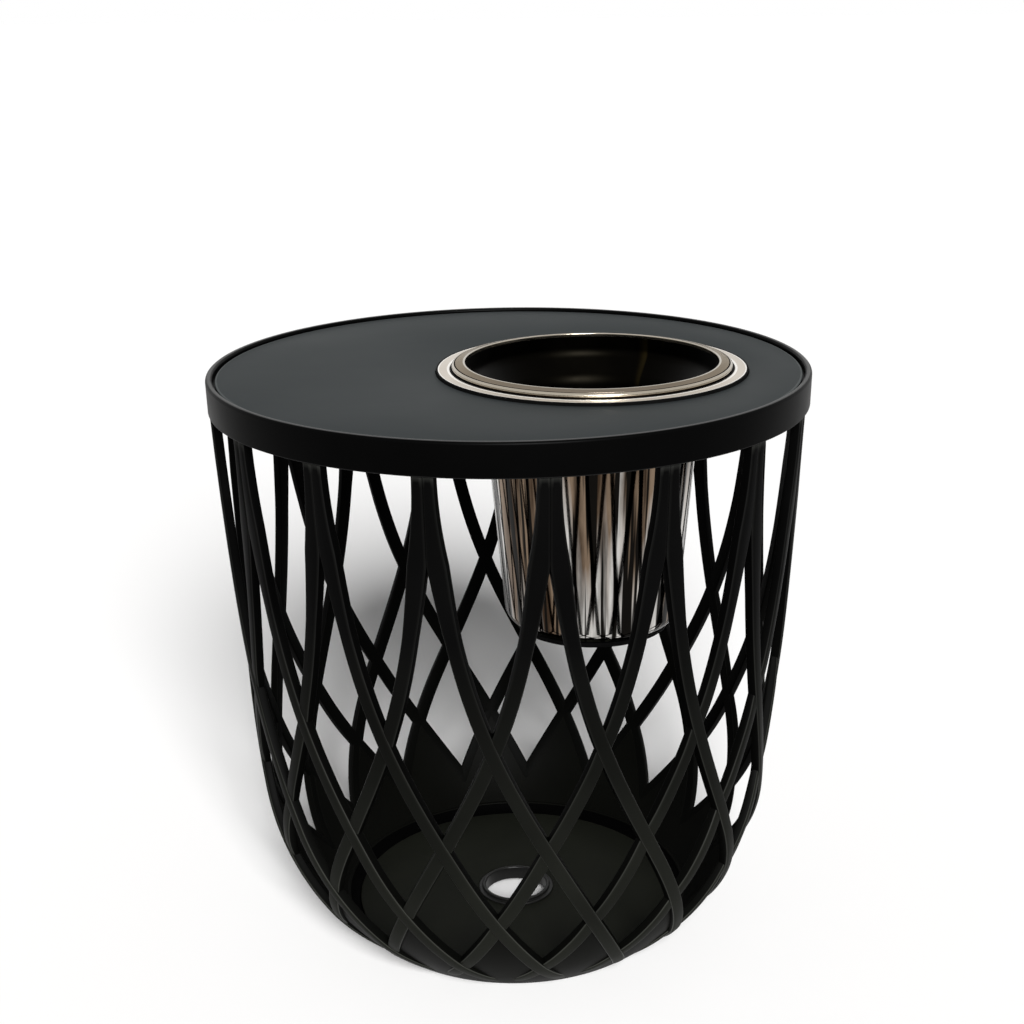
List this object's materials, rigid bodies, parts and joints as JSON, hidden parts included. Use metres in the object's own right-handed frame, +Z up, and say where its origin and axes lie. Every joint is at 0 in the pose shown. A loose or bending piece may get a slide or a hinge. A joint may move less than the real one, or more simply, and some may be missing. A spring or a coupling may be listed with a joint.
{
  "type": "ice bucket coffee table",
  "caption": "Round side table with a black lattice basket for a foot, a lift-off top and a steel ice bucket hanging in a hole in the top.",
  "frame": {"origin": "on the ground under the middle of the basket", "axes": "+Z up; +X from the table's middle towards the bucket; +Y to the left of +X seen from above"},
  "size_m": [0.4299, 0.43, 0.44],
  "materials": {
    "basket_black": "satin moulded, fine grain",
    "floor_plate_dark": "satin moulded",
    "collar_black": "satin moulded",
    "rubber_black": "matte",
    "tray_black": "satin moulded",
    "plate_slate": "fine matt grain",
    "trim_metal": "satin, warm toned",
    "bucket_steel": "polished",
    "rim_bronze": "polished, bronze toned"
  },
  "bodies": {
    "basket": {"basket_bowl": "basket_black", "right_rib_01": "basket_black", "right_rib_02": "basket_black", "right_rib_03": "basket_black", "right_rib_04": "basket_black", "right_rib_05": "basket_black", "right_rib_06": "basket_black", "right_rib_07": "basket_black", "right_rib_08": "basket_black", "right_rib_09": "basket_black", "right_rib_10": "basket_black", "right_rib_11": "basket_black", "right_rib_12": "basket_black", "right_rib_13": "basket_black", "right_rib_14": "basket_black", "right_rib_15": "basket_black", "right_rib_16": "basket_black", "right_rib_17": "basket_black", "left_rib_01": "basket_black", "left_rib_02": "basket_black", "left_rib_03": "basket_black", "left_rib_04": "basket_black", "left_rib_05": "basket_black", "left_rib_06": "basket_black", "left_rib_07": "basket_black", "left_rib_08": "basket_black", "left_rib_09": "basket_black", "left_rib_10": "basket_black", "left_rib_11": "basket_black", "left_rib_12": "basket_black", "left_rib_13": "basket_black", "left_rib_14": "basket_black", "left_rib_15": "basket_black", "left_rib_16": "basket_black", "left_rib_17": "basket_black", "basket_top_ring": "basket_black", "floor_plate": "floor_plate_dark", "drain_collar": "collar_black", "foot_pads": "rubber_black"},
    "table_top": {"top_tray": "tray_black", "top_plate": "plate_slate", "bucket_trim_ring": "trim_metal", "bucket_gasket": "rubber_black"},
    "ice_bucket": {"bucket_shell": "bucket_steel", "bucket_rim": "rim_bronze", "bucket_base_ring": "rubber_black"}
  },
  "joints": [
    {"name": "table_top_lift", "type": "slide", "parent": "basket", "child": "table_top", "axis": [0, 0, 1], "range_m": [0, 0.25]},
    {"name": "bucket_lift", "type": "slide", "parent": "table_top", "child": "ice_bucket", "axis": [0, 0, 1], "range_m": [0, 0.25]}
  ]
}
